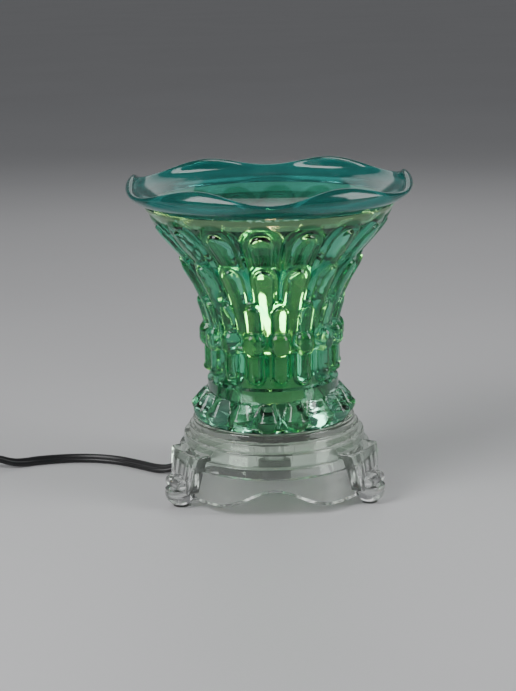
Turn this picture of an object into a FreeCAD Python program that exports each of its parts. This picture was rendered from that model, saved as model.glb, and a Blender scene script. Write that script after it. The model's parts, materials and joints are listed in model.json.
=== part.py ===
import FreeCAD, Part

import math
import os

# Electric wax melt warmer: a ruffled glass dish rests on a pressed glass vase, which is
# bonded to a clear three-legged glass base. A lamp inside warms the dish from below.
# Millimetres, +Z up, the front is -Y, the origin is on the floor under the middle.

V = FreeCAD.Vector
UP = V(0, 0, 1)

# Clearances
air = 0.3
thread_air = 0.03
running_air = 0.05
overrun = 1.0

# Base: clear glass with three legs
leg_count = 3
first_leg_deg = 90.0
pad_thickness = 1.2
pad_radius = 4.2
deck_radius = 43.8
deck_top_z = 41.5
deck_thickness = 5.0
mid_tier_step = 2.2
mid_tier_top_z = 37.5
low_tier_step = 2.8
low_tier_top_z = 33.3
skirt_step = 2.6
skirt_top_z = 26.2
skirt_flare = 2.2
skirt_bottom_z = 4.0
skirt_wall = 5.0
skirt_roof_z = 18.8
tier_wall = 5.2
tier_fillet = 1.3
arch_peak_z = 13.8
arch_half_deg = 37.0
arch_power = 1.25

# Legs: a pilaster with three faces, a scroll and a bun foot, as offsets from the skirt's top radius
pilaster_top_z = 29.0
pilaster_top_offset = 4.8
pilaster_top_half_width = 15.0
pilaster_low_z = 8.2
pilaster_low_offset = 8.2
pilaster_low_half_width = 9.8
pilaster_face_share = 0.53
pilaster_slant = 0.22
pilaster_depth = 13.0
pilaster_fillet = 1.2
panel_low_z = 16.4
panel_high_z = 24.4
panel_depth = 1.4
middle_panel_half_width = 4.6
side_panel_half_width = 1.5
scroll_radius = 3.2
scroll_half_length = 7.5
scroll_offset = 8.8
scroll_centre_z = 12.6
scroll_round = 1.4
foot_offset = 6.3
foot_radius = 8.2
foot_contact_radius = 4.6
foot_rim_z = 9.6
foot_rim_height = 1.0

# Vase: pressed glass, sixteen columns round
column_count = 16
bond_thickness = 0.3
bond_width = 3.0
vase_height = 115.2
vase_rim_radius = 66.5
vase_wall = 4.4
upper_phase_deg = -4.6
row_backing = 1.2
row_gap = 1.1
band_radius = 34.8
band_low = 14.2
band_high = 21.4
drop_radius = 6.1
drop_centre_radius = 38.2
drop_centre_height = 6.5
drop_tip_radius = 34.4
drop_tip_height = 14.2
u_radius = 5.3
u_centre_radius = 30.5
u_low_height = 23.0
u_high_height = 40.0
bead_radius = 4.3
bead_centre_radius = 34.3
bead_low_height = 39.6
bead_high_height = 52.6
ridge_radius = 36.2
ridge_height = 43.6
ridge_half_height = 1.6

# Vase outline under the relief: shares of the rim radius and of the height
core_shares = (
    (0.617, 0.000), (0.617, 0.040), (0.520, 0.123), (0.497, 0.300), (0.491, 0.449),
    (0.548, 0.609), (0.598, 0.679), (0.668, 0.755), (0.885, 0.911), (1.000, 1.000))

# Raised rows of arches: outlines in the same shares, and each row's arches
row_c_shares = ((0.506, 0.435), (0.580, 0.560), (0.585, 0.602))
row_b_shares = ((0.560, 0.580), (0.608, 0.645), (0.698, 0.733), (0.756, 0.790))
row_a_shares = ((0.684, 0.750), (0.834, 0.839), (0.938, 0.911), (0.972, 0.970))
row_c_arch_radius = 38.5
row_b_arch_radius = 46.5
row_a_arch_radius = 62.0
arch_top_inset = 0.5

# Dish: six crests round, stations as crest and trough (radius, height above the vase rim)
crest_count = 6
ring_points = 24
dish_floor_radius = 26.0
dish_floor_height = -10.4
dish_underside_radius = 28.0
dish_underside_height = -14.4
dish_wall = 4.0

# Dish stations in wall thicknesses: out from the vase's inner or outer rim, and up from its top
low_bend_share = (-3.80, -3.00)
side_share = (-1.35, -1.40)
shoulder_share = (-0.30, 0.10)
seat_share = (0.10, 0.30)
flare_shares = ((1.70, 1.05), (1.50, 0.80))
bulge_shares = ((2.30, 2.35), (2.35, 1.40))
lip_out_shares = ((1.70, 3.45), (2.95, 1.95))
lip_top_shares = ((1.05, 3.90), (2.55, 2.40))
lip_in_shares = ((0.60, 3.45), (2.00, 2.20))
cheek_shares = ((1.25, 2.45), (1.40, 1.80))
slope_shares = ((0.65, 1.50), (0.60, 1.40))
step_share = (-0.30, 0.62)
bowl_share = (-2.00, -0.95)
bowl_low_share = (-4.60, -2.10)

# Lamp stem
tube_radius = 5.0
tube_bore = 3.7
tube_low_z = 15.0
washer_radius = 13.0
steel_washer_thickness = 1.2
soft_washer_thickness = 1.5
nut_flats = 14.0
nut_height = 4.0
bracket_thickness = 1.5
bracket_width = 15.0
bracket_half_span = 14.0
bracket_tab = 9.5
holder_low_z = 54.0
holder_height = 24.0
holder_radius = 16.0
holder_half_width = 12.9
holder_fillet = 0.9
holder_screw_spread = 8.8
screw_radius = 1.5
screw_head_radius = 2.6
screw_head_height = 1.8
screw_air = 0.2
wire_radius = 1.1
wire_spread = 1.3
wire_top_spread = 4.0
wire_bend = 3.0

# Lamp bulb with two pins
pin_spread = 5.0
pin_radius = 1.5
pin_head_radius = 2.45
pin_head_height = 2.4
pin_length = 6.6
slot_air = 0.35
twist_deg = 20.0
slot_cover = 3.6
slot_floor_gap = 0.5
contact_thickness = 1.0
contact_width = 5.0
contact_height = 6.0
cap_height = 10.0
cap_radius = 12.4
cap_half_width = 8.6
reflector_radius = 24.6
reflector_height = 34.0
reflector_wall = 1.4
reflector_lip = 3.6
lens_thickness = 1.6
capsule_radius = 5.4
capsule_height = 23.0
capsule_stem = 2.6
reflector_shares = ((0.35, 0.00), (0.56, 0.16), (0.76, 0.42), (0.91, 0.73), (0.98, 1.00))

# Cord outlet under the deck
cord_diameter = 5.6
cord_straight = 11.5
outlet_deg = 157.0
outlet_radius = 8.6
outlet_low_z = 6.4
outlet_high_z = 22.0
outlet_centre_z = 11.6
outlet_arm_radius = 5.6
outlet_arm_length = 12.0
gland_start_radius = 4.6
gland_end_radius = 3.7
gland_length = 20.0

# In-line dimmer
dimmer_x = -213.0
dimmer_y = 38.0
dimmer_half_length = 29.0
dimmer_half_width = 12.5
dimmer_end_half_width = 8.0
dimmer_height = 18.0
dimmer_wall = 1.8
dimmer_fillet = 1.6
wheel_radius = 15.0
wheel_thickness = 6.0
wheel_notches = 22
notch_radius = 1.1
spindle_radius = 2.0
spindle_rise = 0.8
pot_radius = 6.5
pot_height = 1.6
board_half_length = 23.0
board_half_width = 7.0
board_thickness = 1.4
board_lift = 0.5
triac_length = 5.0
triac_width = 9.0
triac_height = 7.0
boss_radius = 2.7
boss_spread_x = 20.5
boss_spread_y = 5.6
case_screw_radius = 1.2
case_screw_head_radius = 2.0
boot_length = 12.0
boot_radius = 5.0
boot_tip_radius = 3.7
boot_z = 6.5

# Plug with two flat blades
plug_tail_x = -260.0
plug_relief_length = 16.0
plug_length = 28.0
plug_half_width = 12.0
plug_height = 16.0
plug_fillet = 2.5
blade_spread = 6.35
blade_thickness = 1.5
blade_width = 6.3
blade_length = 17.0
blade_hole_radius = 1.6

# Coil of spare cord: three turns in, then three turns out on top
coil_x = -288.0
coil_turns = 3
coil_pitch = 6.25
coil_rise = 6.1
coil_outer_radius = 37.4
cord_z = 2.85
coil_lead = 5.6


def polygon(points):
    """A closed flat face through the points."""
    return Part.Face(Part.makePolygon(list(points) + [points[0]]))


def turn(face):
    """A full turn about the vertical axis."""
    return face.revolve(V(0, 0, 0), UP, 360)


def lathe(outline):
    """A solid turned from straight (radius, height) points."""
    return turn(polygon([V(r, 0, z) for r, z in outline]))


def curve_edge(outline):
    """A smooth edge through (radius, height) points."""
    curve = Part.BSplineCurve()
    curve.interpolate([V(r, 0, z) for r, z in outline])
    return curve.toShape()


def line(a, b):
    return Part.makeLine(a, b)


def disc(radius, low, high, x=0, y=0):
    return Part.makeCylinder(radius, high - low, V(x, y, low))


def washer(outer, inner, low, high):
    return disc(outer, low, high).cut(disc(inner, low - overrun, high + overrun))


def spun(shape, degrees, x=0, y=0):
    copy = shape.copy()
    copy.rotate(V(x, y, 0), UP, degrees)
    return copy


def rounded(shape, radius, keep):
    """The shape with the chosen edges rounded."""
    return shape.makeFillet(radius, [edge for edge in shape.Edges if keep(edge)])


def save(name, shapes):
    solids = [solid for shape in shapes for solid in shape.Solids]
    body = solids[0] if len(solids) == 1 else Part.makeCompound(solids)
    body.exportStep("parts/" + name + ".step")


os.makedirs("parts", exist_ok=True)

# Heights that follow from the sizes above
vase_foot_z = deck_top_z + bond_thickness
vase_rim_z = vase_foot_z + vase_height
deck_under_z = deck_top_z - deck_thickness
leg_angles = [first_leg_deg + 360.0 * k / leg_count for k in range(leg_count)]
mid_tier_radius = deck_radius + mid_tier_step
low_tier_radius = mid_tier_radius + low_tier_step
skirt_top_radius = low_tier_radius + skirt_step
skirt_bottom_radius = skirt_top_radius + skirt_flare
foot_centre_radius = skirt_top_radius + foot_offset


def radial(angle_deg, reach, z=0.0):
    angle = math.radians(angle_deg)
    return V(reach * math.cos(angle), reach * math.sin(angle), z)


# Base glass
def skirt_radius(z):
    share = (z - skirt_bottom_z) / (skirt_top_z - skirt_bottom_z)
    return skirt_bottom_radius + share * (skirt_top_radius - skirt_bottom_radius)


def pilaster_plan(z, offset, half_width):
    """The pilaster's outline at one height: a front face between two slanted ones."""
    face_x = skirt_top_radius + offset
    face_half = pilaster_face_share * half_width
    side_x = face_x - pilaster_slant * (half_width - face_half)
    root_x = skirt_top_radius + pilaster_top_offset - pilaster_depth
    return Part.makePolygon([V(root_x, -half_width, z), V(side_x, -half_width, z), V(face_x, -face_half, z),
                             V(face_x, face_half, z), V(side_x, half_width, z), V(root_x, half_width, z),
                             V(root_x, -half_width, z)])


def panel_cutter(across, half_width, turn_deg):
    """A shallow sunk panel in one face, which leans outwards as it goes down."""
    drop = pilaster_top_z - pilaster_low_z
    lean = (pilaster_low_offset - pilaster_top_offset) / drop

    def depth_at(z):
        return skirt_top_radius + pilaster_top_offset + lean * (pilaster_top_z - z) - panel_depth

    high = depth_at(panel_high_z)
    low = depth_at(panel_low_z)
    far = high + 2 * scroll_radius
    face = polygon([V(high, 0, panel_high_z), V(far, 0, panel_high_z), V(far, 0, panel_low_z),
                    V(low, 0, panel_low_z)])
    cutter = face.extrude(V(0, 2 * half_width, 0))
    cutter.translate(V(0, across - half_width, 0))
    return spun(cutter, turn_deg, skirt_top_radius + pilaster_top_offset, across)


def bun_foot():
    """A round foot with a flat rim, drawn in to the pad that it stands on."""
    span = foot_radius - foot_contact_radius
    bend = math.sqrt(0.5)
    rise = foot_rim_z - foot_rim_height - pad_thickness
    start = V(foot_contact_radius, 0, pad_thickness)
    middle = V(foot_contact_radius + span * bend, 0, pad_thickness + rise * (1 - bend))
    shoulder = V(foot_radius, 0, foot_rim_z - foot_rim_height)
    rim = V(foot_radius, 0, foot_rim_z)
    centre_high = V(0, 0, foot_rim_z)
    centre_low = V(0, 0, pad_thickness)
    wire = Part.Wire([Part.Arc(start, middle, shoulder).toShape(), line(shoulder, rim),
                      line(rim, centre_high), line(centre_high, centre_low), line(centre_low, start)])
    foot = turn(Part.Face(wire))
    foot.translate(V(foot_centre_radius, 0, 0))
    return foot


def make_leg():
    """One pilaster with its scroll and foot, pointing along +X."""
    top = pilaster_plan(pilaster_top_z, pilaster_top_offset, pilaster_top_half_width)
    low = pilaster_plan(pilaster_low_z, pilaster_low_offset, pilaster_low_half_width)
    block = Part.makeLoft([top, low], True, True)
    root_x = top.BoundBox.XMin
    block = rounded(block, pilaster_fillet, lambda e: all(v.Z > pilaster_top_z - air for v in e.Vertexes)
                    and max(v.X for v in e.Vertexes) > root_x + air)
    side_mid = (1 + pilaster_face_share) / 2 * (pilaster_top_half_width + pilaster_low_half_width) / 2
    slant_deg = math.degrees(math.atan(pilaster_slant))
    block = block.cut(panel_cutter(0, middle_panel_half_width, 0))
    for side in (-1, 1):
        block = block.cut(panel_cutter(side * side_mid, side_panel_half_width, side * slant_deg))
    scroll = Part.makeCylinder(scroll_radius, 2 * scroll_half_length,
                               V(skirt_top_radius + scroll_offset, -scroll_half_length, scroll_centre_z),
                               V(0, 1, 0))
    scroll = rounded(scroll, scroll_round, lambda e: e.Closed)
    return block.fuse([scroll, bun_foot()])


def arch_cutter():
    """The open arch under the skirt, pointing along +X, with a raised cosine outline."""
    half_width = skirt_bottom_radius * math.sin(math.radians(arch_half_deg))
    root_x = skirt_bottom_radius * math.cos(math.radians(arch_half_deg)) - skirt_wall
    points = []
    for k in range(-4, 5):
        share = k / 4
        lift = (0.5 + 0.5 * math.cos(math.pi * share)) ** arch_power
        points.append(V(root_x, share * half_width, skirt_bottom_z + lift * (arch_peak_z - skirt_bottom_z)))
    top = Part.BSplineCurve()
    top.interpolate(points)
    low_a = V(root_x, points[0].y, skirt_bottom_z - overrun)
    low_b = V(root_x, points[-1].y, skirt_bottom_z - overrun)
    wire = Part.Wire([top.toShape(), line(points[-1], low_b), line(low_b, low_a), line(low_a, points[0])])
    return Part.Face(wire).extrude(V(skirt_bottom_radius, 0, 0))


def make_base():
    """Three stacked tiers on a flared skirt, with three legs and the hollow under the deck."""
    corners = [(skirt_top_radius, skirt_top_z), (low_tier_radius, low_tier_top_z),
               (mid_tier_radius, mid_tier_top_z), (deck_radius, deck_top_z)]
    outline = [(0, skirt_bottom_z), (skirt_bottom_radius, skirt_bottom_z)]
    for (radius, top), (inner, _) in zip(corners, corners[1:] + [(0, 0)]):
        outline += [(radius, top), (inner, top)]
    shell = rounded(lathe(outline), tier_fillet, lambda e: e.Closed and any(
        abs(e.Vertexes[0].X - r) < air and abs(e.Vertexes[0].Z - z) < air for r, z in corners))
    leg = make_leg()
    for angle in leg_angles:
        shell = shell.fuse(spun(leg, angle))
    room_low = skirt_radius(skirt_bottom_z) - skirt_wall
    room_high = skirt_radius(skirt_roof_z) - skirt_wall
    tier_room = low_tier_radius - tier_wall
    deck_room = deck_radius - tier_wall
    shell = shell.cut(lathe([(0, -overrun), (room_low, -overrun), (room_low, skirt_bottom_z),
                             (room_high, skirt_roof_z), (tier_room, skirt_roof_z),
                             (deck_room, deck_under_z), (0, deck_under_z)]))
    arch = arch_cutter()
    for angle in leg_angles:
        shell = shell.cut(spun(arch, angle + 180.0 / leg_count))
    return shell.cut(disc(tube_radius + air, deck_under_z - overrun, deck_top_z + overrun))


save("base_glass", [make_base()])
save("foot_pads", [disc(pad_radius, 0, pad_thickness, *radial(angle, foot_centre_radius)[:2])
                   for angle in leg_angles])


# Vase glass
def vase_point(share, step_in=0.0):
    return share[0] * vase_rim_radius - step_in, vase_foot_z + share[1] * vase_height


pitch_deg = 360.0 / column_count
sector_start_deg = upper_phase_deg - 90.0 - pitch_deg / 2


def sector(outline):
    """One column's share of a turned solid: straight (radius, height) points."""
    face = polygon([V(r, 0, z) for r, z in outline])
    return spun(face.revolve(V(0, 0, 0), UP, pitch_deg), sector_start_deg)


def gap_prism(arch_radius, low, top):
    """What lies between two neighbouring arches, pointing along +X."""
    half_pitch = arch_radius * math.sin(math.pi / column_count)
    gap = row_gap / 2
    round_radius = half_pitch - gap
    spring = top - round_radius
    bend = round_radius * math.sqrt(0.5)
    reach = vase_rim_radius + overrun

    def at(across, z):
        return V(0, across, z)

    right = Part.Arc(at(gap, spring), at(half_pitch - bend, spring + bend), at(half_pitch, top)).toShape()
    left = Part.Arc(at(-half_pitch, top), at(bend - half_pitch, spring + bend), at(-gap, spring)).toShape()
    high = top + overrun
    wire = Part.Wire([
        right, line(at(half_pitch, top), at(half_pitch, high)),
        line(at(half_pitch, high), at(-half_pitch, high)), line(at(-half_pitch, high), at(-half_pitch, top)),
        left, line(at(-gap, spring), at(-gap, low)), line(at(-gap, low), at(gap, low)),
        line(at(gap, low), at(gap, spring))])
    return Part.Face(wire).extrude(V(reach, 0, 0))


def arch_row(shares, arch_radius, gap_angles):
    """One column's share of a ring of raised, round-headed columns over the core."""
    outer = [vase_point(share) for share in shares]
    back = vase_wall / 2 + row_backing
    inner = [(r - back, z) for r, z in reversed(outer)]
    gap = gap_prism(arch_radius, outer[0][1] - overrun, outer[-1][1] - arch_top_inset)
    return sector(outer + inner).cut([spun(gap, angle) for angle in gap_angles])


def capsule(radius, centre_radius, low, high):
    """An upright round-ended rod beside the axis, along +X."""
    bend = radius * math.sqrt(0.5)

    def at(across, z):
        return V(centre_radius + across, 0, z)

    bottom = at(0, low)
    low_side = at(radius, low + radius)
    high_side = at(radius, high - radius)
    top = at(0, high)
    low_arc = Part.Arc(bottom, at(bend, low + radius - bend), low_side).toShape()
    high_arc = Part.Arc(high_side, at(bend, high - radius + bend), top).toShape()
    wire = Part.Wire([low_arc, line(low_side, high_side), high_arc, line(top, bottom)])
    return Part.Face(wire).revolve(bottom, UP, 360)


def make_drop():
    """A leaning teardrop along +X: a ball drawn out to a point above."""
    centre = V(drop_centre_radius, 0, vase_foot_z + drop_centre_height)
    tip = V(drop_tip_radius, 0, vase_foot_z + drop_tip_height)
    axis = tip.sub(centre)
    length = axis.Length
    ball = Part.makeSphere(drop_radius, centre)
    sine = drop_radius / (length + drop_radius)
    start = centre + axis * (drop_radius * sine / length)
    cone = Part.makeCone(drop_radius * math.sqrt(1 - sine * sine), drop_radius / 3,
                         length - drop_radius * sine, start, axis)
    return ball.fuse(cone)


def make_vase():
    """One column with its share of the wall, repeated round and joined."""
    outer = [vase_point(share) for share in core_shares]
    inner = [vase_point(share, vase_wall) for share in core_shares]
    core = sector(outer + inner[::-1])
    edges = (sector_start_deg, sector_start_deg + pitch_deg)
    middle = sector_start_deg + pitch_deg / 2
    foot = vase_foot_z
    band_root = band_radius - vase_wall / 2 - row_backing
    ridge_z = foot + ridge_height
    ridge_root = bead_centre_radius - vase_wall / 2
    parts = [
        arch_row(row_c_shares, row_c_arch_radius, (middle,)),
        arch_row(row_b_shares, row_b_arch_radius, edges),
        arch_row(row_a_shares, row_a_arch_radius, edges),
        sector([(band_root, foot + band_low), (band_radius, foot + band_low),
                (band_radius, foot + band_high), (band_root, foot + band_high)]),
        sector([(ridge_root, ridge_z - 2 * ridge_half_height), (ridge_radius, ridge_z - ridge_half_height),
                (ridge_radius, ridge_z + ridge_half_height),
                (ridge_root, ridge_z + 2 * ridge_half_height)]),
        spun(make_drop(), middle)]
    u_rod = capsule(u_radius, u_centre_radius, foot + u_low_height, foot + u_high_height)
    bead = capsule(bead_radius, bead_centre_radius, foot + bead_low_height, foot + bead_high_height)
    for angle in edges:
        parts += [spun(u_rod, angle), spun(bead, angle)]
    wedge = sector([(vase_wall, foot), (2 * vase_rim_radius, foot), (2 * vase_rim_radius, vase_rim_z),
                    (vase_wall, vase_rim_z)])
    room = sector([(0, foot)] + inner + [(0, vase_rim_z)])
    column = core.multiFuse(parts).common(wedge).cut(room)
    columns = [spun(column, pitch_deg * k) for k in range(column_count)]
    return columns[0].multiFuse(columns[1:])


save("vase_glass", [make_vase()])
bond_outer = core_shares[0][0] * vase_rim_radius
save("vase_bond", [washer(bond_outer, bond_outer - bond_width, deck_top_z, vase_foot_z)])


# Dish
def dish_ring(crest, trough):
    """A closed ring whose radius and height swing between the crest's and the trough's."""
    points = []
    for k in range(ring_points):
        angle = 2 * math.pi * k / ring_points
        share = 0.5 + 0.5 * math.cos(crest_count * angle)
        reach = trough[0] + share * (crest[0] - trough[0])
        z = trough[1] + share * (crest[1] - trough[1])
        points.append(V(reach * math.cos(angle), reach * math.sin(angle), vase_rim_z + z))
    curve = Part.BSplineCurve()
    curve.interpolate(points, PeriodicFlag=True)
    return Part.Wire([curve.toShape()])


def make_dish():
    """A loft from the underside out over the rim, round the lip and back in to the floor."""
    wall = dish_wall

    def inside(share):
        place = (vase_rim_radius - vase_wall + share[0] * wall, share[1] * wall)
        return place, place

    def outside(crest, trough):
        return tuple((vase_rim_radius + share[0] * wall, share[1] * wall) for share in (crest, trough))

    underside = (dish_underside_radius, dish_underside_height)
    floor = (dish_floor_radius, dish_floor_height)
    stations = [(underside, underside), inside(low_bend_share), inside(side_share), inside(shoulder_share),
                outside(seat_share, seat_share)]
    stations += [outside(*shares) for shares in (flare_shares, bulge_shares, lip_out_shares, lip_top_shares,
                                                 lip_in_shares, cheek_shares, slope_shares)]
    stations += [inside(step_share), inside(bowl_share), inside(bowl_low_share), (floor, floor)]
    return Part.makeLoft([dish_ring(crest, trough) for crest, trough in stations], True, True)


save("dish", [make_dish()])

# Lamp stem through the deck
soft_low = deck_under_z - soft_washer_thickness
steel_low = soft_low - steel_washer_thickness
low_nut_low = steel_low - nut_height
bracket_low = deck_top_z + soft_washer_thickness
bracket_top_of_plate = bracket_low + bracket_thickness
tube_high_z = bracket_top_of_plate + nut_height + overrun
nut_bore = tube_radius + thread_air
save("threaded_tube", [washer(tube_radius, tube_bore, tube_low_z, tube_high_z)])
save("soft_washers", [washer(washer_radius, nut_bore, soft_low, deck_under_z),
                      washer(washer_radius, nut_bore, deck_top_z, bracket_low)])
save("steel_washer", [washer(washer_radius - steel_washer_thickness, nut_bore, steel_low, soft_low)])


def hex_nut(low):
    corner = nut_flats / math.sqrt(3)
    outline = [radial(60.0 * k, corner, low) for k in range(6)]
    nut = polygon(outline).extrude(V(0, 0, nut_height))
    return nut.cut(disc(nut_bore, low - overrun, low + nut_height + overrun))


save("hex_nuts", [hex_nut(low_nut_low), hex_nut(bracket_top_of_plate)])


def make_bracket():
    """A strip folded to a C: plate on the deck, two upright sides, two tabs under the lampholder."""
    high = holder_low_z
    wall = bracket_thickness
    half = bracket_half_span
    tab = half - bracket_tab
    outline = [(-half, bracket_low), (half, bracket_low), (half, high), (tab, high), (tab, high - wall),
               (half - wall, high - wall), (half - wall, bracket_low + wall),
               (wall - half, bracket_low + wall), (wall - half, high - wall), (-tab, high - wall),
               (-tab, high), (-half, high)]
    strip = polygon([V(-bracket_width / 2, y, z) for y, z in outline]).extrude(V(bracket_width, 0, 0))
    strip = strip.cut(disc(nut_bore, bracket_low - overrun, bracket_low + wall + overrun))
    for side in (-1, 1):
        strip = strip.cut(disc(screw_radius + thread_air, high - 2 * wall, high + overrun,
                               0, side * holder_screw_spread))
    return strip


save("socket_bracket", [make_bracket()])

# Lampholder and its insides
holder_top_z = holder_low_z + holder_height
pin_low_z = holder_top_z - pin_length
slot_low_z = pin_low_z - slot_floor_gap
head_room = pin_head_radius + slot_air
stem_room = pin_radius + slot_air


def arc_slot(half_width, low, high, start_deg, sweep_deg):
    """A kidney-shaped slot round the axis, with round ends."""
    end_deg = start_deg + sweep_deg
    mid_deg = start_deg + sweep_deg / 2

    def at(angle, across):
        return radial(angle, pin_spread + across * half_width, low)

    def round_end(angle, way):
        tip = at(angle, 0) + radial(angle + way, half_width)
        return Part.Arc(at(angle, 1 if way > 0 else -1), tip, at(angle, -1 if way > 0 else 1)).toShape()

    outer = Part.Arc(at(start_deg, 1), at(mid_deg, 1), at(end_deg, 1)).toShape()
    inner = Part.Arc(at(end_deg, -1), at(mid_deg, -1), at(start_deg, -1)).toShape()
    wire = Part.Wire([outer, round_end(end_deg, 90), inner, round_end(start_deg, -90)])
    return Part.Face(wire).extrude(V(0, 0, high - low))


def make_holder():
    body = disc(holder_radius, holder_low_z, holder_top_z)
    size = 2 * holder_radius
    body = body.common(Part.makeBox(size, 2 * holder_half_width, size,
                                    V(-holder_radius, -holder_half_width, holder_low_z - overrun)))
    body = rounded(body, holder_fillet, lambda e: all(v.Z > holder_top_z - air for v in e.Vertexes))
    for start in (0.0, 180.0):
        cover_low = holder_top_z - slot_cover
        body = body.cut(arc_slot(head_room, slot_low_z, cover_low, start, twist_deg))
        body = body.cut(arc_slot(stem_room, cover_low, holder_top_z + overrun, start, twist_deg))
        entry = radial(start + twist_deg, pin_spread)
        body = body.cut(disc(head_room, cover_low, holder_top_z + overrun, entry.x, entry.y))
        well = radial(start, pin_spread)
        body = body.cut(Part.makeBox(contact_width + 2 * air, contact_width + 2 * air, contact_height + air,
                                     V(well.x - contact_width / 2 - air, well.y - contact_width / 2 - air,
                                       slot_low_z - contact_height)))
        wire = V(math.copysign(wire_top_spread, well.x), 0, holder_low_z)
        body = body.cut(disc(wire_radius + air, holder_low_z - overrun, slot_low_z - contact_height + air,
                             wire.x, wire.y))
    for side in (-1, 1):
        y = side * holder_screw_spread
        body = body.cut(disc(screw_radius + screw_air, holder_low_z - overrun, holder_top_z + overrun, 0, y))
        body = body.cut(disc(screw_head_radius + screw_air, holder_top_z - 2 * screw_head_height,
                             holder_top_z + overrun, 0, y))
    return body


save("lampholder", [make_holder()])


def make_contact(side):
    """A folded brass spring strip standing in the well under one pin."""
    x = side * pin_spread - contact_width / 2
    low = slot_low_z - contact_height + air
    wall = contact_thickness
    high = slot_low_z - air
    far = x + contact_width
    outline = [(x, low), (far, low), (far, low + wall), (x + wall, low + wall), (x + wall, high - wall),
               (far, high - wall), (far, high), (x, high)]
    strip = polygon([V(px, -contact_width / 2, z) for px, z in outline]).extrude(V(0, contact_width, 0))
    return strip


save("lampholder_contacts", [make_contact(side) for side in (-1, 1)])


def holder_screw(side):
    y = side * holder_screw_spread
    head_low = holder_top_z - 2 * screw_head_height
    shank = disc(screw_radius, holder_low_z - 2 * bracket_thickness, head_low, 0, y)
    head = disc(screw_head_radius, head_low, head_low + screw_head_height, 0, y)
    slot = Part.makeBox(2 * screw_head_radius, screw_head_height / 3, screw_head_height,
                        V(-screw_head_radius, y - screw_head_height / 6, head_low + screw_head_height / 2))
    return shank.fuse(head).cut(slot)


save("lampholder_screws", [holder_screw(side) for side in (-1, 1)])


# Swept tubes
def rounded_path(points, radii):
    """Straight runs joined by tangent arcs."""
    edges = []
    cursor = points[0]
    for before, corner, after, radius in zip(points, points[1:], points[2:], radii):
        inward = (before - corner).normalize()
        onward = (after - corner).normalize()
        half = (math.pi - inward.getAngle(onward)) / 2
        trim = radius * math.tan(half)
        start = corner + inward * trim
        end = corner + onward * trim
        middle = (inward + onward).normalize()
        mid = corner + middle * (radius / math.cos(half) - radius)
        edges += [line(cursor, start), Part.Arc(start, mid, end).toShape()]
        cursor = end
    edges.append(line(cursor, points[-1]))
    return Part.Wire(edges)


def tube_along(path, radius, start, direction):
    shell = Part.BRepOffsetAPI.MakePipeShell(path)
    shell.add(Part.Wire([Part.Circle(start, direction, radius).toShape()]))
    shell.build()
    shell.makeSolid()
    return shell.shape()


def lead_wire(side):
    low = outlet_centre_z + outlet_arm_radius
    bend_high_z = holder_low_z - 2 * air - wire_bend * math.tan(math.pi / 8)
    bend_low_z = bend_high_z - (wire_top_spread - wire_spread)
    points = [V(side * wire_top_spread, 0, slot_low_z - contact_height),
              V(side * wire_top_spread, 0, bend_high_z),
              V(side * wire_spread, 0, bend_low_z), V(side * wire_spread, 0, low)]
    return tube_along(rounded_path(points, [wire_bend, wire_bend]), wire_radius, points[0], V(0, 0, -1))


save("lead_wires", [lead_wire(side) for side in (-1, 1)])

# Bulb
cap_low_z = holder_top_z + air
cap_high_z = cap_low_z + cap_height
lens_low_z = cap_high_z + reflector_height
lens_high_z = lens_low_z + lens_thickness


def bulb_pin(side):
    x = side * pin_spread
    stem = disc(pin_radius, pin_low_z, cap_low_z + cap_height / 2, x, 0)
    return stem.fuse(disc(pin_head_radius, pin_low_z, pin_low_z + pin_head_height, x, 0))


def make_cap():
    size = 2 * cap_radius
    body = disc(cap_radius, cap_low_z, cap_high_z)
    body = body.common(Part.makeBox(size, 2 * cap_half_width, size,
                                    V(-cap_radius, -cap_half_width, cap_low_z)))
    body = rounded(body, holder_fillet, lambda e: all(v.Z > cap_high_z - air for v in e.Vertexes))
    for side in (-1, 1):
        body = body.cut(disc(pin_radius + thread_air, cap_low_z - overrun, cap_low_z + cap_height / 2,
                             side * pin_spread, 0))
    return body.cut(disc(capsule_stem + thread_air, cap_high_z - capsule_stem, cap_high_z + overrun))


def make_reflector():
    """A bowl of thin glass with a thicker lip that holds the lens."""
    outer = [(r * reflector_radius, cap_high_z + z * reflector_height) for r, z in reflector_shares]
    inner = [(r - reflector_wall, z) for r, z in outer]
    rim_edge, foot_edge = [line(V(outer[k][0], 0, outer[k][1]), V(inner[k][0], 0, inner[k][1]))
                           for k in (-1, 0)]
    bowl = turn(Part.Face(Part.Wire([curve_edge(outer), rim_edge, curve_edge(inner), foot_edge])))
    lip_low = lens_low_z - reflector_lip
    lip_in = reflector_radius - 2 * reflector_wall
    lip = lathe([(lip_in, lip_low + reflector_wall), (reflector_radius, lip_low),
                 (reflector_radius, lens_high_z), (lip_in + reflector_wall, lens_high_z),
                 (lip_in + reflector_wall, lens_low_z), (lip_in, lens_low_z)])
    foot = washer(outer[0][0], capsule_stem + running_air, cap_high_z, cap_high_z + reflector_wall)
    return bowl.fuse([lip, foot])


save("bulb_reflector", [make_reflector()])
save("bulb_cap", [make_cap()])
save("bulb_pins", [bulb_pin(side) for side in (-1, 1)])
lens_radius = reflector_radius - reflector_wall - thread_air
save("bulb_lens", [disc(lens_radius, lens_low_z, lens_high_z)])
glass_low = cap_high_z + reflector_wall + air
stem = disc(capsule_stem, cap_high_z - capsule_stem, glass_low + capsule_radius)
capsule_glass = capsule(capsule_radius, 0, glass_low, glass_low + capsule_height)
save("bulb_capsule", [capsule_glass.fuse(stem)])


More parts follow.
